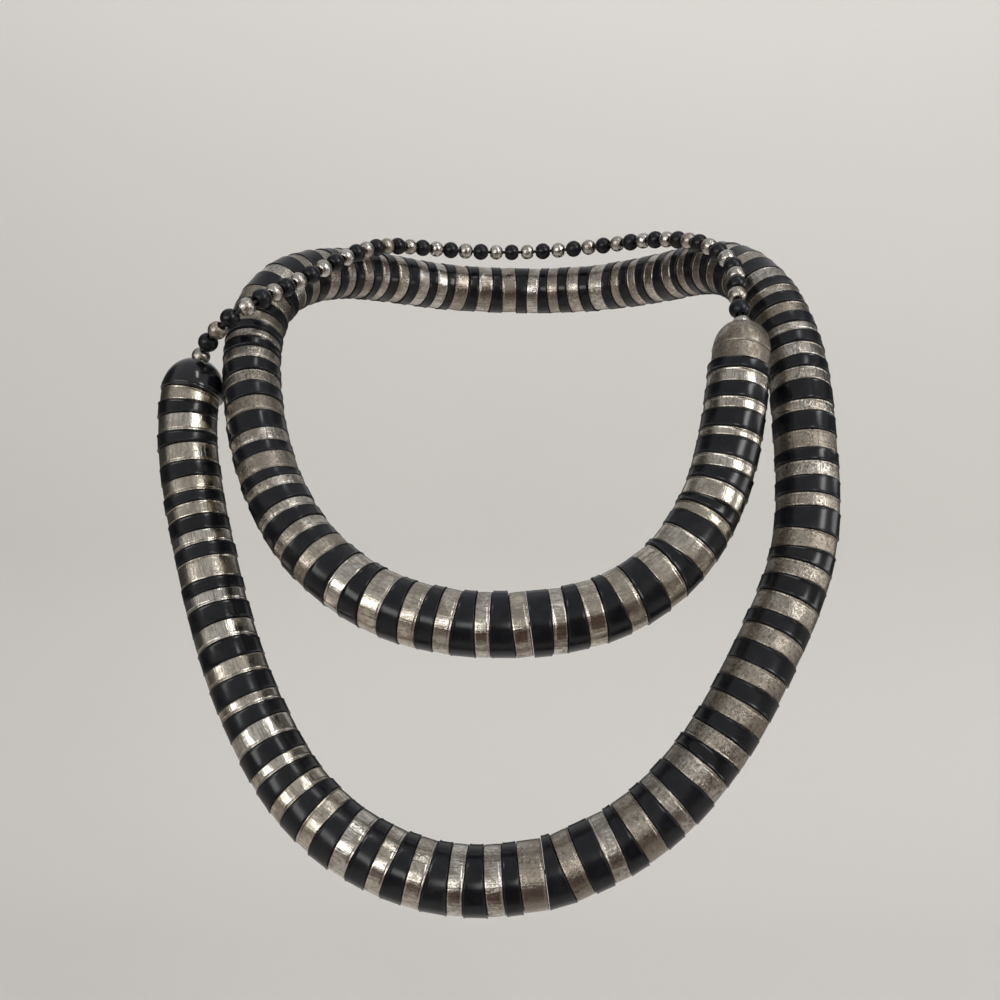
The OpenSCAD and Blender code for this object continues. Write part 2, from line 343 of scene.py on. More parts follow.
def piece_marks(wear=0.3):
    """What makes one piece differ from the next: its tone, wear, seam and place in the pattern."""
    return {
        "tone": chance.random(), "wear": wear, "seam": chance.uniform(-math.pi, math.pi),
        "pattern": chance.uniform(-pattern_mm, pattern_mm, 3),
    }


def wear_at(s):
    return float(np.interp(s, *zip(*wear_rows))) + chance.uniform(-wear_scatter, wear_scatter)


print(len(wear_rows), "wear rows")

# %% [markdown]
# ## The metal rings
# Each ring looks like a strip of thin sheet bent round a core, with a seam where it meets. Its
# flank is nearly straight, and near one end a fine groove leaves a bright lip. Sheet that is
# worked by hand is never quite round, so each ring gets its own slight waves and sits a hair
# beside the middle. The waves are only a few hundredths of a millimetre, but they bend the
# reflections, and that is what the eye sees. Most seams lie anywhere round the ring. At the
# bottom of the outer loop a few are turned towards the camera, a little above the middle, so
# that their dark line is also a painted reflection of the inner loop.

# %% Shape a ring
ring_radius = 8.2
bore_radius = 1.5
rope_segments = 48
# Between these distances along the rope the seams are turned towards the camera, so that their
# dark line is also a painted reflection of the inner loop.
painted_reflection_from, painted_reflection_to = 132, 182


def seam_and_reflection_turn(spot, s):
    """Where round a ring the sheet's two ends meet. At the bottom of the outer loop this faces the
    camera, so the dark line is also a painted reflection.
    """
    if not painted_reflection_from < s < painted_reflection_to:
        return chance.uniform(-math.pi, math.pi)
    middle, axis, side, out = spot
    facing = unit(camera_place - middle) + np.array([0, 0, chance.uniform(0.5, 0.7)])
    return math.atan2(facing @ out, facing @ side)


def hand_wave(size):
    """Slight waves round a piece, which change along it."""
    turns = chance.integers(2, 7, 3)
    phases = chance.uniform(0, 2 * math.pi, 3)
    drifts = chance.uniform(-1.5, 1.5, 3)
    sizes = chance.uniform(0.3, 1, 3) * size / turns**0.5

    def wave(turn, share):
        angles = turns[:, None] * turn + (phases + drifts * share)[:, None]
        return sizes @ np.sin(angles)

    return wave


def ring_outline(crown, lip_at_end):
    """The outline of a ring from bore to bore, with its groove and lip near one end."""
    r = ring_radius
    outline = [
        (0, 0, bore_radius), (0, 0, core_radius), (0, 0, r - 0.4), (0, 0.05, r - 0.15),
        (0, 0.2, r - 0.03), (0, 0.45, r), (0, 0.7, r + 0.1 * crown), (0.5, 0, r + crown),
        (1, -1, r + 0.1 * crown), (1, -0.8, r), (1, -0.68, r - 0.11), (1, -0.56, r - 0.11),
        (1, -0.44, r + 0.01), (1, -0.2, r + 0.02), (1, -0.05, r - 0.08), (1, 0, r - 0.3),
        (1, 0, core_radius), (1, 0, bore_radius),
    ]
    return outline if lip_at_end else mirrored(outline)


def mirrored(outline):
    return [(1 - share, -extra, radius) for share, extra, radius in reversed(outline)]


def uneven(spot, outline, ends, slip, wave):
    """A turned piece with a slip, waves and a turn of its own."""
    slips = chance.uniform(-slip, slip, 2)
    return turned(spot, outline, ends, rope_segments, slips, hand_wave(wave), chance.uniform(0, 1))


# %% Make the metal rings
ring_slip, ring_wave = 0.1, 0.022
lip_at_end_share = 0.85
rings = []
for j in range(pair_count):
    spot = on_ring(j)
    low, high = end_planes(spot, -ring_len[j] / 2, ring_len[j] / 2)
    if j == 0:
        low = plane_off(dome_place, -gap)
    outline = ring_outline(chance.uniform(-0.03, 0.05), chance.random() < lip_at_end_share)
    body = uneven(spot, outline, (low, high), ring_slip, ring_wave)
    marks = piece_marks(wear_at(ring_s[j])) | {"seam": seam_and_reflection_turn(spot, ring_s[j])}
    rings.append((*body, marks))
metal_rings = joined_object("metal_rings", rings)

# %% [markdown]
# ## The black discs
# The discs look as if they were cut from a horn-like rod. They fill the room between two rings,
# so in a bend they are thinner on the inner side. Their flank is a little hollow and ends in two
# thin raised rims, which show as small points on the outline of the rope. The end planes of each
# disc are the faces of its neighbours, moved by the clearance that the CAD model keeps.

# %% Make the black discs
disc_radius = 8.5
disc_slip, disc_wave = 0.12, 0.025


def disc_outline(hollow):
    r = disc_radius
    half = [
        (0, 0, bore_radius), (0, 0, 5.2), (0, 0, r - 0.25), (0, 0.06, r - 0.08),
        (0, 0.18, r - 0.02), (0, 0.34, r - 0.5 * hollow), (0, 0.52, r - 0.86 * hollow),
        (0, 0.72, r - 0.97 * hollow),
    ]
    return half + [(0.5, 0, r - hollow)] + mirrored(half)


discs = []
for j in range(pair_count):
    low = plane_off(on_ring(j), ring_len[j] / 2 + gap)
    high = plane_off(cap_place, -gap)
    if j + 1 < pair_count:
        high = plane_off(on_ring(j + 1), -ring_len[j + 1] / 2 - gap)
    outline = disc_outline(chance.uniform(0.07, 0.2))
    body = uneven(on_string(disc_s[j]), outline, (low, high), disc_slip, disc_wave)
    discs.append((*body, piece_marks(wear_at(disc_s[j]))))
black_discs = joined_object("black_disc_beads", discs)

# %% [markdown]
# ## The two end caps
# The black dome is turned like a button: half an egg, with a fine groove a little above its
# base. The metal cap at the other end has a plain band, a ridge like a wire, and a domed crown.
# The ridge is rubbed bright, so its wear is set below zero.
# The first small bead is let into the top of each, and because the thread bends on its way out,
# that bowl and the bore are askew. So the rows of the mesh close up round the bowl, off the axis.
# Each corner is found by going out from an eye, a point inside, until the egg ends. A boolean
# modifier could cut the bowl too, but its long thin faces would spoil the gloss.

# %% Helpers for a cap with an askew bowl
columns = 128
halvings = 36
widest_reach = 30.0


def unit_rows(vectors):
    return vectors / np.linalg.norm(vectors, axis=1)[:, None]


def halved(low, high, beyond):
    """Narrows each column's range down to where the test turns true."""
    low, high = np.full(columns, low), np.full(columns, high)
    for _ in range(halvings):
        half = (low + high) / 2
        past = beyond(half)
        low, high = np.where(past, low, half), np.where(past, half, high)
    return high


def height_and_radius(points, spot):
    middle, axis = spot[:2]
    height = (points - middle) @ axis
    return height, np.linalg.norm(points - middle - height[:, None] * axis, axis=1)


print(f"each corner is found to within {widest_reach / 2**halvings:.0e} mm")

# %% Shape a cap whose rows close up round its bowl
seat_radius = 2.82
crown_rows = 30
eye_rise = 1
rim_leans, foot_leans = (0.0, 1.5), (0.5, 2.9)
# Shifts the band at the rim of the bowl: painted darker on the metal cap, rubbed paler on the
# dome.
bowl_band_offset_mm = 0.15


def bored_cap(spot, radius_at, shoulder, foot, bead, bore_line):
    """Makes a cap from its radius at each height, with a bowl for the bead and a straight bore."""
    middle, axis, side, out = spot
    bore_way = unit(bore_line[1] - bore_line[0])
    first = unit(np.cross(bore_way, out))
    second = np.cross(bore_way, first)
    turn = np.arange(columns) * 2 * math.pi / columns
    around = np.cos(turn)[:, None] * first + np.sin(turn)[:, None] * second
    climb = (middle - bore_line[0]) @ axis + shoulder + eye_rise
    eye = bore_line[0] + bore_way * (climb / (bore_way @ axis))

    def shell(lean):
        way = np.cos(lean)[:, None] * bore_way + np.sin(lean)[:, None] * around

        def outside(reach):
            height, radius = height_and_radius(eye + reach[:, None] * way, spot)
            return radius > radius_at(height)

        return eye + halved(0.0, widest_reach, outside)[:, None] * way

    def past_rim(lean):
        return np.linalg.norm(shell(lean) - bead, axis=1) > seat_radius

    def below_shoulder(lean):
        return height_and_radius(shell(lean), spot)[0] < shoulder

    rim, low = halved(*rim_leans, past_rim), halved(*foot_leans, below_shoulder)
    crown = [shell(low + (rim - low) * share) for share in np.linspace(0, 1, crown_rows)]
    start = crown[0] - middle
    outward = unit_rows(start - (start @ axis)[:, None] * axis)
    rows_up = [middle + height * axis + radius * outward for height, radius in foot] + crown

    wall = bore_line[0] + bore_radius * around
    level = wall + ((bead - wall) @ bore_way)[:, None] * bore_way
    depth = np.sqrt(seat_radius**2 - np.linalg.norm(level - bead, axis=1) ** 2)
    bowl_start = (level - depth[:, None] * bore_way - bead) / seat_radius
    bowl_end = unit_rows(crown[-1] - bead)
    for share in (0.75, 0.5, 0.25, 0):
        way = unit_rows(bowl_start + share * (bowl_end - bowl_start))
        rows_up.append(bead + seat_radius * way)
    drop = ((middle - wall) @ axis) / (bore_way @ axis)
    rows_up.append(wall + drop[:, None] * bore_way)

    grid = np.array(rows_up)
    flat = grid.reshape(-1, 3) - middle
    own = np.stack([flat @ side, flat @ out, flat @ axis], 1).reshape(grid.shape)
    from_bowl = np.abs(np.linalg.norm(grid - bead, axis=2) - seat_radius)
    return grid, own, np.minimum(own[..., 2], from_bowl + bowl_band_offset_mm)


# %% Make the black dome
dome_radius = 8.95
dome_fullness = 2.2
dome_top = dome_h - 0.3
dome_shoulder = 1.05
dome_bore = [point_at(row_of(whole_len - share * dome_h)) for share in (0.15, 0.85)]


def dome_radius_at(height):
    rise = np.clip(height / dome_top, 0, 1)
    share = (1 - rise**dome_fullness) ** (1 / dome_fullness)
    return np.where(height > dome_top, 0, dome_radius * share)


r = dome_radius
# columns: height above the base, radius
dome_foot = [
    (0, 5), (0, r - 0.3), (0.08, r - 0.1), (0.25, r - 0.02), (0.5, r), (0.66, r - 0.04),
    (0.74, r - 0.14), (0.84, r - 0.15), (0.94, r - 0.07),
]
dome = bored_cap(dome_place, dome_radius_at, dome_shoulder, dome_foot, dome_bead, dome_bore)
black_dome = joined_object("black_dome", [dome + (piece_marks(),)], sharp_deg=60)

# %% Make the metal cap
cap_radius = 7.8
mouth_radius = 3
cap_shoulder = band_h + 0.15
cap_bore = (cap_place[0], cap_bead)


def cap_radius_at(height):
    rise = np.clip((height - band_h) / crown_h, 0, 1)
    radius = mouth_radius + (cap_radius - mouth_radius) * np.sqrt(1 - rise**2)
    return np.where(height > band_h + crown_h, 0, radius)


r = cap_radius
cap_foot = [
    (0, 5), (0, r - 0.25), (0.06, r - 0.08), (0.2, r), (0.5, r - 0.02), (1.5, r - 0.06),
    (2.8, r - 0.08), (4.1, r - 0.05), (band_h - 0.6, r - 0.04), (band_h - 0.4, r - 0.1),
    (band_h + 0.08, r - 0.1),
]
cap = bored_cap(cap_place, cap_radius_at, cap_shoulder, cap_foot, cap_bead, cap_bore)
ridge_wire = 0.21
ridge_rise, ridge_sunk = band_h - 0.14, 0.08
ridge_segments = 96
ridge_outline = [
    (0, ridge_rise + ridge_wire * math.sin(a), r - ridge_sunk + ridge_wire * math.cos(a))
    for a in np.linspace(0, 2 * math.pi, 12, endpoint=False)
]
cap_ends = end_planes(cap_place, 0, band_h + crown_h)
ridge = turned(cap_place, ridge_outline, cap_ends, ridge_segments)
cap_marks, ridge_marks = piece_marks(0.8), piece_marks(-0.6)
metal_cap = joined_object("metal_cap", [(*cap, cap_marks), (*ridge, ridge_marks)], sharp_deg=60)

# %% [markdown]
# ## The small beads
# The strand is strung with metal and black beads in turn, each about five and a half millimetres
# across. A drilled bead is flat round its two holes, and each hole has a bevelled edge. A sphere
# with a boolean would do for one bead. But a bead is a turned form too, so the same turning
# makes all of them, and no two come out the same size.

# %% Make the small beads
bead_bore_radius = 1.2
bevel_radius = 1.27
flat_radius = 1.42
bead_steps, bead_segments = 15, 32
bead_unevenness = 0.03
bead_wear = 0.5


def bead_outline(radius):
    hole = math.asin(flat_radius / radius)
    shell = [
        (0.5, -radius * math.cos(a), radius * math.sin(a))
        for a in np.linspace(hole, math.pi - hole, bead_steps)
    ]
    low, high = shell[0][1], shell[-1][1]
    inner = [(0.5, high - 0.02, bevel_radius), (0.5, high - 0.2, bead_bore_radius)]
    return shell + inner + [(0.5, low + 0.2, bead_bore_radius), (0.5, low + 0.02, bevel_radius)]


def small_beads(name, numbers, radius):
    beads = []
    for k in numbers:
        spot = on_string(bead_s[k])
        size = radius * (1 - bead_unevenness * chance.random())
        ends = end_planes(spot, -size, size)
        body = turned(spot, bead_outline(size), ends, bead_segments, spin=chance.uniform(0, 1))
        beads.append((*body, piece_marks(bead_wear)))
    return joined_object(name, beads)


metal_beads = small_beads("small_metal_beads", range(0, bead_gaps + 1, 2), 2.7)
black_beads = small_beads("small_black_beads", range(1, bead_gaps, 2), 2.9)

# %% [markdown]
# ## The thread
# The thread is taken to be a waxed cord of two twisted yarns. Only a glimpse of it shows between
# two beads, but it goes all the way through. It is a tube whose section is a slight oval that
# turns as it goes along. A Blender curve with a bevel would be quicker to draw, but its section
# couldn't turn so evenly.

# %% Make the thread
thread_radius = 0.58
flatness = 0.1
twist_mm = 3.2
thread_sides = 10
station_mm, closing_mm = 0.75, 0.3
stations = np.arange(0, whole_len - closing_mm, station_mm)
turn = np.arange(thread_sides) * 2 * math.pi / thread_sides
corners = []
for s in stations:
    middle, heading, side, out = on_string(s)
    narrowing = (1 - np.cos(2 * (turn - 2 * math.pi * s / twist_mm))) / 2
    radius = thread_radius * (1 - flatness * narrowing)
    around = np.cos(turn)[:, None] * side + np.sin(turn)[:, None] * out
    corners.append(middle + radius[:, None] * around)
corners = np.array(corners)
own = np.zeros_like(corners)
own[:, :, 2] = stations[:, None]
own[:, :, 0] = np.arange(thread_sides)
from_end = np.ones(corners.shape[:2])
thread = joined_object("twisted_thread", [(corners, own, from_end, piece_marks())])

# %% [markdown]
# ## Effects that several finishes share
# A real surface isn't one colour. Metal darkens in blotches, tools leave fine lines, a band along
# the ends of a metal piece is painted darker where it meets the next, and edges are rubbed. Each
# of these is a node group with named sockets, made once.
# A material then places the group with its own values. The groups read the place that each
# corner keeps in millimetres, so every spot has a real size and stays on its piece.

# %% Helpers for groups and nodes
def start_group(name, numbers, masks):
    """A new shader group. Returns it with the sockets to read and the sockets to fill."""
    group = bpy.data.node_groups.new(name, "ShaderNodeTree")
    sockets = group.interface
    sockets.new_socket(name="Place", in_out="INPUT", socket_type="NodeSocketVector")
    for socket, value in numbers.items():
        made = sockets.new_socket(name=socket, in_out="INPUT", socket_type="NodeSocketFloat")
        made.default_value = value
    for socket in masks:
        sockets.new_socket(name=socket, in_out="OUTPUT", socket_type="NodeSocketFloat")
    given, wanted = group.nodes.new("NodeGroupInput"), group.nodes.new("NodeGroupOutput")
    print(f"group {name} takes Place, {numbers} and gives {masks}")
    return group, given.outputs, wanted.inputs


def add_node(tree, kind, settings=None, **values):
    """Adds a node and fills its sockets. A socket goes by its name, or by i and its number."""
    node = tree.nodes.new(kind)
    for key, value in (settings or {}).items():
        setattr(node, key, value)
    for key, value in values.items():
        numbered = key[0] == "i" and key[1:].isdigit()
        socket = node.inputs[int(key[1:]) if numbered else key.replace("_", " ")]
        if isinstance(value, bpy.types.NodeSocket):
            tree.links.new(value, socket)
        else:
            socket.default_value = value
    return node


# %% Helpers for sums, noise and colours
def math_of(tree, operation, a, b=0.0, clamp=False):
    settings = {"operation": operation, "use_clamp": clamp}
    return add_node(tree, "ShaderNodeMath", settings, i0=a, i1=b).outputs[0]


def plus(tree, a, b):
    return math_of(tree, "ADD", a, b)


def less(tree, a, b):
    return math_of(tree, "SUBTRACT", a, b)


def times(tree, a, b, clamp=False):
    return math_of(tree, "MULTIPLY", a, b, clamp)


def scaled(tree, vector, scale):
    settings = {"operation": "MULTIPLY"}
    return add_node(tree, "ShaderNodeVectorMath", settings, i0=vector, i1=scale).outputs[0]


def noise_of(tree, vector, scale, detail, rough=0.5):
    return add_node(
        tree, "ShaderNodeTexNoise", Vector=vector, Scale=scale, Detail=detail, Roughness=rough,
    ).outputs[0]


def between(tree, value, low, high, out_low=0.0, out_high=1.0):
    return add_node(
        tree, "ShaderNodeMapRange", {"interpolation_type": "SMOOTHSTEP"},
        Value=value, From_Min=low, From_Max=high, To_Min=out_low, To_Max=out_high,
    ).outputs[0]


def mixed_colour(tree, share, a, b):
    return add_node(tree, "ShaderNodeMix", {"data_type": "RGBA"}, i0=share, i6=a, i7=b).outputs[2]


# %% [markdown]
# ## Tarnish
# Metal goes brown in soft blotches where nobody rubs it, and dark specks stay in its pits. A
# painted picture could show that, but noise never repeats and needs no file. A coarse and a fine
# noise are added, and what rises above a level is tarnish. Tone and amount push the sum up, so
# one ring is browner than the next.

# %% Make the tarnish group
tarnish, given, wanted = start_group(
    "tarnish", {"Tone": 0.5, "Amount": 0.5, "Specks": 0.3}, ["Mask", "Specks"],
)
coarse = noise_of(tarnish, given["Place"], scale=0.16, detail=3, rough=0.55)
fine = noise_of(tarnish, given["Place"], scale=0.8, detail=5, rough=0.7)
both = plus(tarnish, times(tarnish, coarse, 0.5), times(tarnish, fine, 0.5))
tone_push = times(tarnish, given["Tone"], 0.08)
amount_push = times(tarnish, given["Amount"], 0.2)
raised = plus(tarnish, both, plus(tarnish, tone_push, amount_push))
tarnish.links.new(between(tarnish, raised, 0.5, 0.68), wanted["Mask"])
speck_noise = noise_of(tarnish, given["Place"], scale=1.15, detail=4, rough=0.75)
speck_edge = less(tarnish, 0.64, times(tarnish, given["Specks"], 0.16))
specks = times(tarnish, less(tarnish, speck_noise, speck_edge), 6.0, clamp=True)
tarnish.links.new(specks, wanted["Specks"])

# %% [markdown]
# ## Lines, facets, dents and grit
# A lathe leaves lines that run round a piece, and filing and rubbing leave lines that run the
# length of it. Both are stretched noise: where the place is squeezed before the noise reads it,
# the pattern comes out long. A planishing hammer leaves long narrow facets, for which the cells
# of a Voronoi texture do. Dents are a broad noise, and grit a fine one. All four give a height.

# %% Make the groups that give a height
def line_group(name, stretch, lines_mm):
    group, given, wanted = start_group(name, {"Lines per mm": lines_mm}, ["Height"])
    long_place = scaled(group, given["Place"], stretch)
    lines = noise_of(group, long_place, given["Lines per mm"], detail=3, rough=0.6)
    group.links.new(lines, wanted["Height"])
    return group


turned_lines = line_group("turned_lines", (0.12, 0.12, 1.0), 5.0)
drawn_lines = line_group("drawn_lines", (1.0, 1.0, 0.12), 2.5)

facets, given, wanted = start_group("facets", {"Per mm": 0.36}, ["Height"])
cell = add_node(
    facets, "ShaderNodeTexVoronoi", {"feature": "F1"},
    Vector=scaled(facets, given["Place"], (1.0, 1.0, 0.16)), Scale=given["Per mm"],
)
facets.links.new(cell.outputs["Distance"], wanted["Height"])

dents, given, wanted = start_group("dents", {"Size": 0.4, "Grit": 0.3}, ["Height"])
broad = noise_of(dents, given["Place"], given["Size"], detail=1)
grit = noise_of(dents, given["Place"], scale=1.2, detail=4, rough=0.75)
dents.links.new(plus(dents, broad, times(dents, grit, given["Grit"])), wanted["Height"])

# %% [markdown]
# ## Edges and seams
# The metal is painted darker along the ends of a ring, where it meets the next piece, and a worn
# rim is rubbed. The mesh keeps how far each corner is from the nearer end, so a mask needs only
# that distance and some noise, to make the border ragged. The seam of the sheet is made in the
# same way, from the distance to a line along the ring; on a few rings at the bottom of the outer
# loop that dark line is also a painted reflection. Noise makes that line wander, as a gap that was
# closed by hand would.

# %% Make the groups for edges and seams
edge_band, given, wanted = start_group("edge_band", {"From end": 1.0, "Width": 0.4}, ["Mask"])
edge_noise = noise_of(edge_band, given["Place"], scale=1.1, detail=3, rough=0.55)
ragged = times(edge_band, edge_noise, given["Width"])
border = plus(edge_band, ragged, times(edge_band, given["Width"], 0.5))
inside = less(edge_band, border, given["From end"])
mask = math_of(edge_band, "DIVIDE", inside, given["Width"], clamp=True)
edge_band.links.new(mask, wanted["Mask"])

seam_and_reflection_line, given, wanted = start_group("seam_and_reflection_line", {"From seam": 5.0, "Width": 0.12}, ["Mask"])
wander_noise = noise_of(seam_and_reflection_line, given["Place"], scale=0.9, detail=3, rough=0.6)
off_line = less(seam_and_reflection_line, given["From seam"], times(seam_and_reflection_line, wander_noise, 1.6))
off_line = math_of(seam_and_reflection_line, "ABSOLUTE", off_line)
share = math_of(seam_and_reflection_line, "DIVIDE", off_line, given["Width"], clamp=True)
seam_and_reflection_line.links.new(less(seam_and_reflection_line, 1.0, share), wanted["Mask"])

# %% [markdown]
# ## Dust
# A black piece that is handled has an uneven thin grey film and a few pale grains, so it needs
# two noises. Without them the discs would look like new plastic.

# %% Make the dust group
dust, given, wanted = start_group("dust", {"Amount": 0.3}, ["Mask"])
film_noise = noise_of(dust, given["Place"], scale=0.35, detail=4, rough=0.65)
grain_noise = noise_of(dust, given["Place"], scale=5.0, detail=2)
film = times(dust, between(dust, film_noise, 0.4, 0.75), 0.6)
grains = times(dust, between(dust, grain_noise, 0.62, 0.78), 0.5)
dust.links.new(times(dust, plus(dust, film, grains), given["Amount"]), wanted["Mask"])

# %% [markdown]
# ## The finishes
# A metal only tints what it mirrors, so its shader is metallic, and most of its look comes from
# roughness and from the light. A black disc is the other way round: hardly any light comes back
# from its body, and what is seen is a soft gloss. Both start from Blender's Principled shader.
# Bumps are chained into its normal, each with its depth in millimetres, because what is too
# small for the mesh still has to catch the light.

# %% Helpers for materials
def start_material(name, **shader_values):
    material = bpy.data.materials.new(name)
    material.use_nodes = True
    tree = material.node_tree
    shader = tree.nodes["Principled BSDF"]
    for key, value in shader_values.items():
        shader.inputs[key.replace("_", " ")].default_value = value
    print("material", name)
    return material, tree, shader


def kept(tree, name):
    node = add_node(
        tree, "ShaderNodeAttribute", {"attribute_name": name, "attribute_type": "GEOMETRY"},
    )
    return node.outputs["Vector" if name == "own_mm" else "Fac"]


def use_group(tree, group, **values):
    return add_node(tree, "ShaderNodeGroup", {"node_tree": group}, **values).outputs


def bumped(tree, shader, heights):
    """Chains bumps of (height, depth in mm, strength) into the shader's normal."""
    normal = None
    for height, depth, strength in heights:
        bump = add_node(
            tree, "ShaderNodeBump", Height=height, Strength=strength, Distance=depth * MM,
        )
        if normal is not None:
            tree.links.new(normal, bump.inputs["Normal"])
        normal = bump.outputs["Normal"]
    tree.links.new(normal, shader.inputs["Normal"])


# %% [markdown]
# ## Worn metal
# The rings look like thin silver-toned sheet, the cap like dull cast metal, and the beads like
# turned metal. They differ in how much of each effect they show, so one function makes all three.
# The colours go from clean and warm metal over dull tarnish to dark: specks in the pits, a band
# painted darker along the ends where a piece meets the next, and the seam line, which on a few
# rings at the bottom is also a painted reflection. Amount and specks say how much tarnish full
# wear brings, fade how far it takes the colour to dull, and wear_rough what it adds to the
# roughness.
# Dent_mm, drawn_mm and facet_mm are depths. Streaks is how far drawn lines darken the metal, and
# the seam darkness how dark the seam line is.

# %% A metal with its wear
# The widths of the band painted darker along the ends and of the seam line, which on a few rings
# is also a painted reflection.
end_darkening_mm, seam_and_reflection_mm, drawn_per_mm = 0.25, 0.13, 2.2
stain_share, speck_share, end_darkening_share = 0.85, 0.8, 0.6
tone_rough = 0.05


def metal_finish(
    name, clean, warm, dull, dark, rough_low, rough_high, amount, specks, lines_mm, grit,
    dent_size, dent_mm, drawn_mm, streaks, facet_mm=0.0, seam_and_reflection_dark=0.0, fade=0.5, wear_rough=0.06,
):
    material, tree, shader = start_material(name, Metallic=1.0, Roughness=rough_low)
    place, tone, wear = kept(tree, "own_mm"), kept(tree, "tone"), kept(tree, "wear")
    stain = use_group(
        tree, tarnish, Place=place, Tone=tone, Amount=times(tree, wear, amount),
        Specks=times(tree, wear, specks),
    )
    lines = use_group(tree, turned_lines, Place=place, Lines_per_mm=lines_mm)["Height"]
    drawn = use_group(tree, drawn_lines, Place=place, Lines_per_mm=drawn_per_mm)["Height"]
    dent = use_group(tree, dents, Place=place, Size=dent_size, Grit=times(tree, wear, grit))
    from_end, from_seam_and_reflection = kept(tree, "from_end_mm"), kept(tree, "seam_and_reflection_mm")
    # A band along each end of the piece, and round the cap's bowl, is painted darker where it
    # meets the next piece.
    end_darkening = use_group(tree, edge_band, From_end=from_end, Place=place, Width=end_darkening_mm)["Mask"]
    # The seam line is painted dark; on a few rings at the bottom of the outer loop it also stands
    # for a painted reflection.
    seam = use_group(tree, seam_and_reflection_line, From_seam=from_seam_and_reflection, Place=place, Width=seam_and_reflection_mm)["Mask"]
    seam = times(tree, seam, seam_and_reflection_dark)
    facet = use_group(tree, facets, Place=place)["Height"]

    faded = times(tree, times(tree, wear, wear), fade)
    faded = times(tree, faded, between(tree, tone, 0.0, 1.0, 0.35, 1.65), clamp=True)
    streaked = times(tree, between(tree, drawn, 0.45, 0.68), streaks)
    colour = mixed_colour(tree, tone, clean, warm)
    for share, next_colour in [
        (times(tree, stain["Mask"], stain_share), dull), (faded, dull), (streaked, dull),
        (times(tree, stain["Specks"], speck_share), dark),
        (times(tree, end_darkening, end_darkening_share), dark), (seam, dark),
    ]:
        colour = mixed_colour(tree, share, colour, next_colour)
    tree.links.new(colour, shader.inputs["Base Color"])
    rough = between(tree, stain["Mask"], 0.0, 1.0, rough_low, rough_high)
    rough = plus(tree, rough, times(tree, tone, tone_rough))
    rough = plus(tree, rough, times(tree, wear, wear_rough))
    tree.links.new(rough, shader.inputs["Roughness"])
    bumped(tree, shader, [
        (dent["Height"], dent_mm, 0.6), (drawn, drawn_mm, 0.6), (lines, 0.02, 0.3),
        (less(tree, 1.0, seam), 0.05, 0.7), (facet, facet_mm, 0.8),
    ])
    return material


# %% The three metals
ring_metal = metal_finish(
    "worn_sheet_metal", clean=(0.9, 0.87, 0.805, 1), warm=(0.88, 0.8, 0.655, 1),
    dull=(0.42, 0.365, 0.3, 1), dark=(0.07, 0.055, 0.04, 1), rough_low=0.08, rough_high=0.24,
    amount=0.5, specks=0.95, lines_mm=3.0, grit=5.5, dent_size=0.35, dent_mm=0.06,
    drawn_mm=0.09, streaks=0.7, facet_mm=0.08, seam_and_reflection_dark=0.85, fade=0.62, wear_rough=0.02,
)
cap_metal = metal_finish(
    "dull_cast_metal", clean=(0.74, 0.69, 0.61, 1), warm=(0.7, 0.63, 0.53, 1),
    dull=(0.3, 0.25, 0.195, 1), dark=(0.07, 0.055, 0.04, 1), rough_low=0.2, rough_high=0.38,
    amount=0.5, specks=1.0, lines_mm=1.5, grit=3.5, dent_size=0.8, dent_mm=0.08,
    drawn_mm=0.12, streaks=0.8, facet_mm=0.06,
)
bead_metal = metal_finish(
    "turned_bead_metal", clean=(0.9, 0.88, 0.84, 1), warm=(0.84, 0.8, 0.72, 1),
    dull=(0.5, 0.43, 0.35, 1), dark=(0.09, 0.07, 0.05, 1), rough_low=0.13, rough_high=0.3,
    amount=0.3, specks=0.6, lines_mm=6.0, grit=1.2, dent_size=1.5, dent_mm=0.15,
    drawn_mm=0.16, streaks=0.6,
)

# %% [markdown]
# ## Satin and polished black
# The discs have the satin gloss of handled horn, the dome is polished, and the small black beads
# are a little duller. The body is a deep blue-black that differs slightly from piece to piece.
# Dust lifts it and roughens the gloss, and the rims are rubbed grey. The dome's polish is a clear
# coat over the body, which gives it small sharp lights.

# %% The three blacks
deep_black, soft_black = (0.0036, 0.0042, 0.006, 1), (0.0068, 0.0078, 0.011, 1)
dust_grey, rubbed_grey = (0.06, 0.058, 0.056, 1), (0.03, 0.03, 0.032, 1)
rubbed_mm, rubbed_share, dust_rough = 0.3, 0.35, 0.35


def black_finish(name, roughness, spread, coat, dust_amount, lines_mm, line_mm):
    material, tree, shader = start_material(
        name, Roughness=roughness, Coat_Weight=coat, Coat_Roughness=0.12, Specular_IOR_Level=0.48,
    )
    place, tone, from_end = kept(tree, "own_mm"), kept(tree, "tone"), kept(tree, "from_end_mm")
    film = use_group(tree, dust, Place=place, Amount=dust_amount)["Mask"]
    lines = use_group(tree, turned_lines, Place=place, Lines_per_mm=lines_mm)["Height"]
    rubbed = use_group(tree, edge_band, From_end=from_end, Place=place, Width=rubbed_mm)["Mask"]
    body = mixed_colour(tree, tone, deep_black, soft_black)
    body = mixed_colour(tree, film, body, dust_grey)
    body = mixed_colour(tree, times(tree, rubbed, rubbed_share), body, rubbed_grey)
    tree.links.new(body, shader.inputs["Base Color"])
    rough = plus(tree, times(tree, tone, spread), roughness)
    rough = plus(tree, rough, times(tree, film, dust_rough))
    tree.links.new(rough, shader.inputs["Roughness"])
    bumped(tree, shader, [(lines, line_mm, 0.4)])
    return material


# columns: roughness, how much it differs from piece to piece, coat, dust, lines per mm, depth
disc_black = black_finish("satin_black", 0.16, 0.08, 0.0, 0.22, 3.0, 0.02)
dome_black = black_finish("polished_black", 0.12, 0.0, 0.7, 0.08, 2.0, 0.006)
bead_black = black_finish("bead_black", 0.24, 0.1, 0.0, 0.15, 5.0, 0.03)

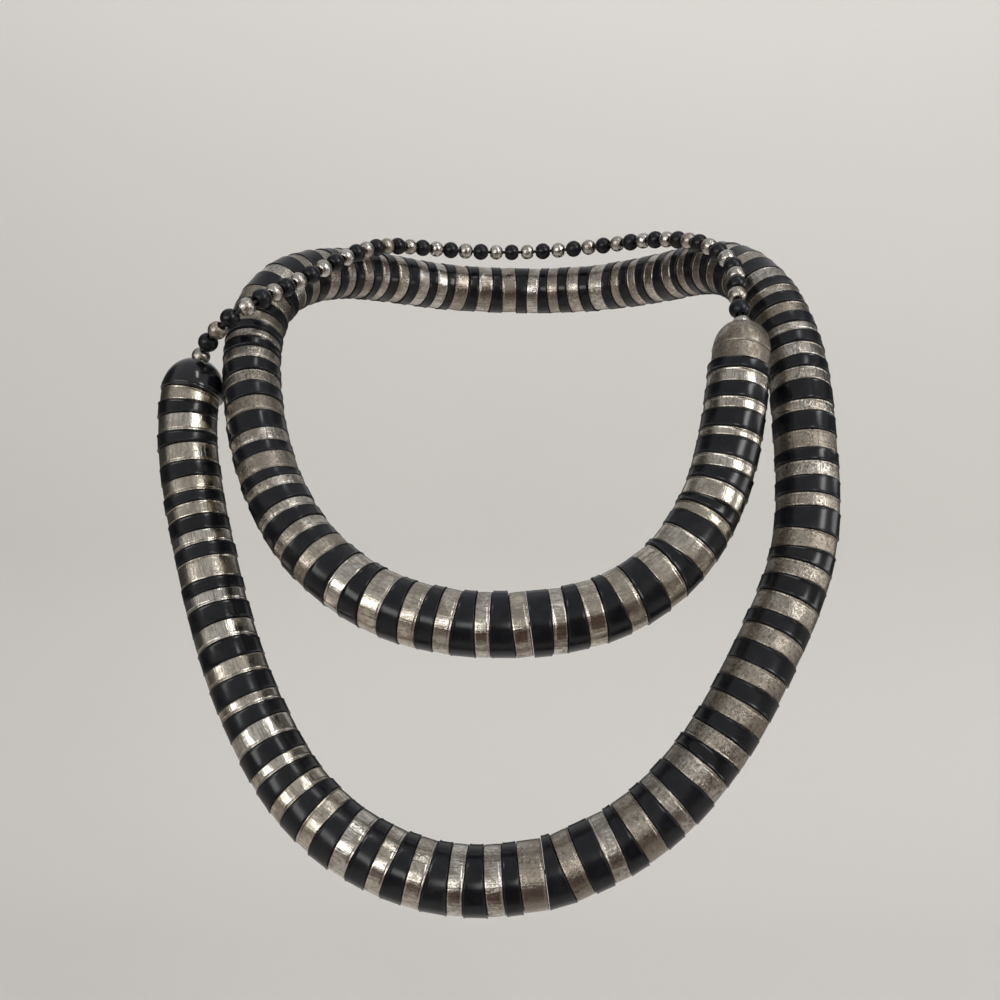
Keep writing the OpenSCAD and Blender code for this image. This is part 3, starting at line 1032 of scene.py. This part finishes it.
# %% [markdown]
# ## Waxed cord
# Wax makes a cord dark and a little shiny, and fibres show through as fine paler threads. One
# stretched noise gives the colour, the roughness and the bump, so that all three agree.

# %% Make the cord's finish
cord, tree, shader = start_material("waxed_cord", Roughness=0.55)
yarn_place = scaled(tree, kept(tree, "own_mm"), (0.8, 1.0, 2.5))
yarn = noise_of(tree, yarn_place, scale=1.4, detail=4, rough=0.6)
yarn_colour = mixed_colour(tree, yarn, (0.012, 0.011, 0.01, 1), (0.07, 0.06, 0.05, 1))
tree.links.new(yarn_colour, shader.inputs["Base Color"])
tree.links.new(between(tree, yarn, 0.3, 0.7, 0.45, 0.7), shader.inputs["Roughness"])
bumped(tree, shader, [(yarn, 0.08, 0.6)])

# %% [markdown]
# ## Dress the model
# Each finished piece stands for one node of the CAD model. It replaces that node in the picture,
# rides on the same body, which is the only one here, and gets its finish.

# %% Give each piece its finish and its place in the model
dressed = [
    (metal_rings, ring_metal, "silver_discs"),
    (black_discs, disc_black, "black_discs"),
    (black_dome, dome_black, "black_end_cap"),
    (metal_cap, cap_metal, "silver_end_cap"),
    (metal_beads, bead_metal, "silver_beads"),
    (black_beads, bead_black, "black_beads"),
    (thread, cord, "thread"),
]
for piece, material, node in dressed:
    piece.data.materials.append(material)
    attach(piece, "root")
    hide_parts(node)
print(len(dressed), "pieces dressed")

# %% [markdown]
# ## The pale sweep
# The floor and the wall are one pale sweep, bent where they meet, so that the camera sees no
# edge behind the necklace. It is hidden from reflections, or its pale paper would light up the
# edges that are dark on the real metal.

# %% Make the sweep
paper = (0.74, 0.72, 0.69, 1)
floor_z, wall_y, bend = -0.34, 0.42, 0.22
front_y, top_z, half_width = -1.6, 1.6, 2.2
paper_finish, tree, shader = start_material("pale_paper", Base_Color=paper, Roughness=0.9)
profile = [(front_y, floor_z), (wall_y - bend, floor_z)]
profile += [
    (wall_y - bend + bend * math.sin(a), floor_z + bend - bend * math.cos(a))
    for a in np.radians(np.arange(6, 90, 6))
]
profile += [(wall_y, floor_z + bend), (wall_y, top_z)]
sweep_mesh = bpy.data.meshes.new("sweep")
sweep_mesh.from_pydata(
    [(x, y, z) for y, z in profile for x in (-half_width, half_width)], [],
    [(2 * k, 2 * k + 1, 2 * k + 3, 2 * k + 2) for k in range(len(profile) - 1)],
)
sweep_mesh.polygons.foreach_set("use_smooth", np.ones(len(profile) - 1, bool))
sweep_mesh.materials.append(paper_finish)
sweep = bpy.data.objects.new("sweep", sweep_mesh)
sweep.visible_glossy = False
bpy.context.scene.collection.objects.link(sweep)
print("sweep:", len(profile) - 1, "strips")

# %% [markdown]
# ## Soft lights
# A shiny thing is a mirror of its room. Each soft light shows on every ring as a pale stripe, so
# a light is placed where the stripe has to be. Four look at the necklace: a tall one to the right
# of the camera, a wide low one to the left, one far right and a small one high up. A fifth, the
# wash, hangs above to keep the sweep pale, and is hidden from reflections.

# %% Set up the lights
lights_middle = np.array([0, -0.09, -0.09])
light_distance = 1.3


def soft_light(name, size, radiance):
    data = bpy.data.lights.new(name, "AREA")
    data.shape = "RECTANGLE"
    data.size, data.size_y = size
    data.energy = radiance * math.pi * size[0] * size[1]
    light = bpy.data.objects.new(name, data)
    bpy.context.scene.collection.objects.link(light)
    print(f"{name}: {size[0]} by {size[1]} m, {data.energy:.2f} W")
    return light


def aim(light, azimuth, elevation):
    """Places a light so that it looks at the necklace. Azimuth is to the right of the camera."""
    a, e = math.radians(azimuth), math.radians(elevation)
    way = np.array([math.sin(a) * math.cos(e), -math.cos(a) * math.cos(e), math.sin(e)])
    light.location = lights_middle + light_distance * way
    light.rotation_euler = (math.radians(90 - elevation), 0, a)


aim(soft_light("key_light", (0.3, 0.6), 6.2), 48, 22)
aim(soft_light("left_light", (1.2, 0.34), 2.9), -33, 2)
aim(soft_light("right_light", (0.55, 0.5), 1.9), 94, 1)
aim(soft_light("high_light", (0.15, 0.4), 5.0), 36, 60)
wash = soft_light("wash_light", (1.6, 0.5), 1.4)
wash.location = (0, 0.05, 0.75)
wash.rotation_euler = (math.radians(28), 0, 0)
wash.visible_glossy = False

# %% [markdown]
# ## The room that the metal mirrors
# The metal's dark stripes come from the room between the lights. Walls and furniture could stand
# there, but painting the world's colour is quicker: a ramp from below to above, soft patches
# round single directions, and a dark belt behind at eye level. A patch is a dot product, which
# is 1 in its direction and falls as the angle grows. The camera sees none of it, only one pale
# backdrop. The Standard view transform shows the colours as they are, without a film look.

# %% Helpers for the room
world = bpy.data.worlds.new("room")
world.use_nodes = True
tree = world.node_tree
direction = add_node(tree, "ShaderNodeTexCoord").outputs["Generated"]
split = add_node(tree, "ShaderNodeSeparateXYZ", Vector=direction).outputs
height, away = split["Z"], split["Y"]


def towards(way, starts, full):
    """A soft mask round a direction, from the dot product where it starts to where it is full."""
    dot = add_node(
        tree, "ShaderNodeVectorMath", {"operation": "DOT_PRODUCT"},
        i0=direction, i1=unit(np.array(way)).tolist(),
    )
    return between(tree, dot.outputs["Value"], starts, full)


# columns: height from below to above, colour
stops = [
    (0.0, (0.34, 0.33, 0.31, 1)), (0.2, (0.38, 0.35, 0.33, 1)), (0.33, (0.24, 0.22, 0.2, 1)),
    (0.43, (0.15, 0.14, 0.13, 1)), (0.5, (0.22, 0.21, 0.2, 1)), (0.6, (0.42, 0.41, 0.4, 1)),
    (0.85, (0.34, 0.34, 0.34, 1)), (1.0, (0.36, 0.36, 0.37, 1)),
]
# columns: direction (right, away, up), where the patch starts and is full, its colour
patches = [
    ((0.1, -0.86, -0.5), 0.76, 0.9, (0.075, 0.052, 0.046, 1)),
    ((0.0, 0.75, 0.65), 0.8, 0.92, (0.46, 0.46, 0.47, 1)),
    ((0.0, 0.7, -0.7), 0.8, 0.92, (0.5, 0.48, 0.46, 1)),
    ((-0.93, 0.28, 0.25), 0.78, 0.92, (0.045, 0.042, 0.04, 1)),
    ((0.85, 0.4, 0.42), 0.86, 0.96, (0.08, 0.08, 0.08, 1)),
]
belt_colour, backdrop_colour = (0.045, 0.045, 0.045, 1), (0.56, 0.54, 0.52, 1)
print(len(stops), "stops,", len(patches), "patches")

# %% Paint the room
ramp = add_node(tree, "ShaderNodeValToRGB", Fac=plus(tree, times(tree, height, 0.5), 0.5))
ends = ramp.color_ramp.elements
ends[0].position, ends[0].color = stops[0]
ends[1].position, ends[1].color = stops[-1]
for position, colour in stops[1:-1]:
    ramp.color_ramp.elements.new(position).color = colour
room = ramp.outputs["Color"]
for way, starts, full, colour in patches:
    room = mixed_colour(tree, towards(way, starts, full), room, colour)
belt_height = between(tree, math_of(tree, "ABSOLUTE", height), 0.3, 0.15)
belt = times(tree, belt_height, between(tree, away, -0.1, 0.3))
room = mixed_colour(tree, belt, room, belt_colour)
seen = add_node(tree, "ShaderNodeLightPath").outputs["Is Camera Ray"]
background = tree.nodes["Background"].inputs
tree.links.new(mixed_colour(tree, seen, room, backdrop_colour), background["Color"])
background["Strength"].default_value = 1.0
bpy.context.scene.world = world
bpy.context.scene.view_settings.view_transform = "Standard"
print("the room has", len(tree.nodes), "nodes")
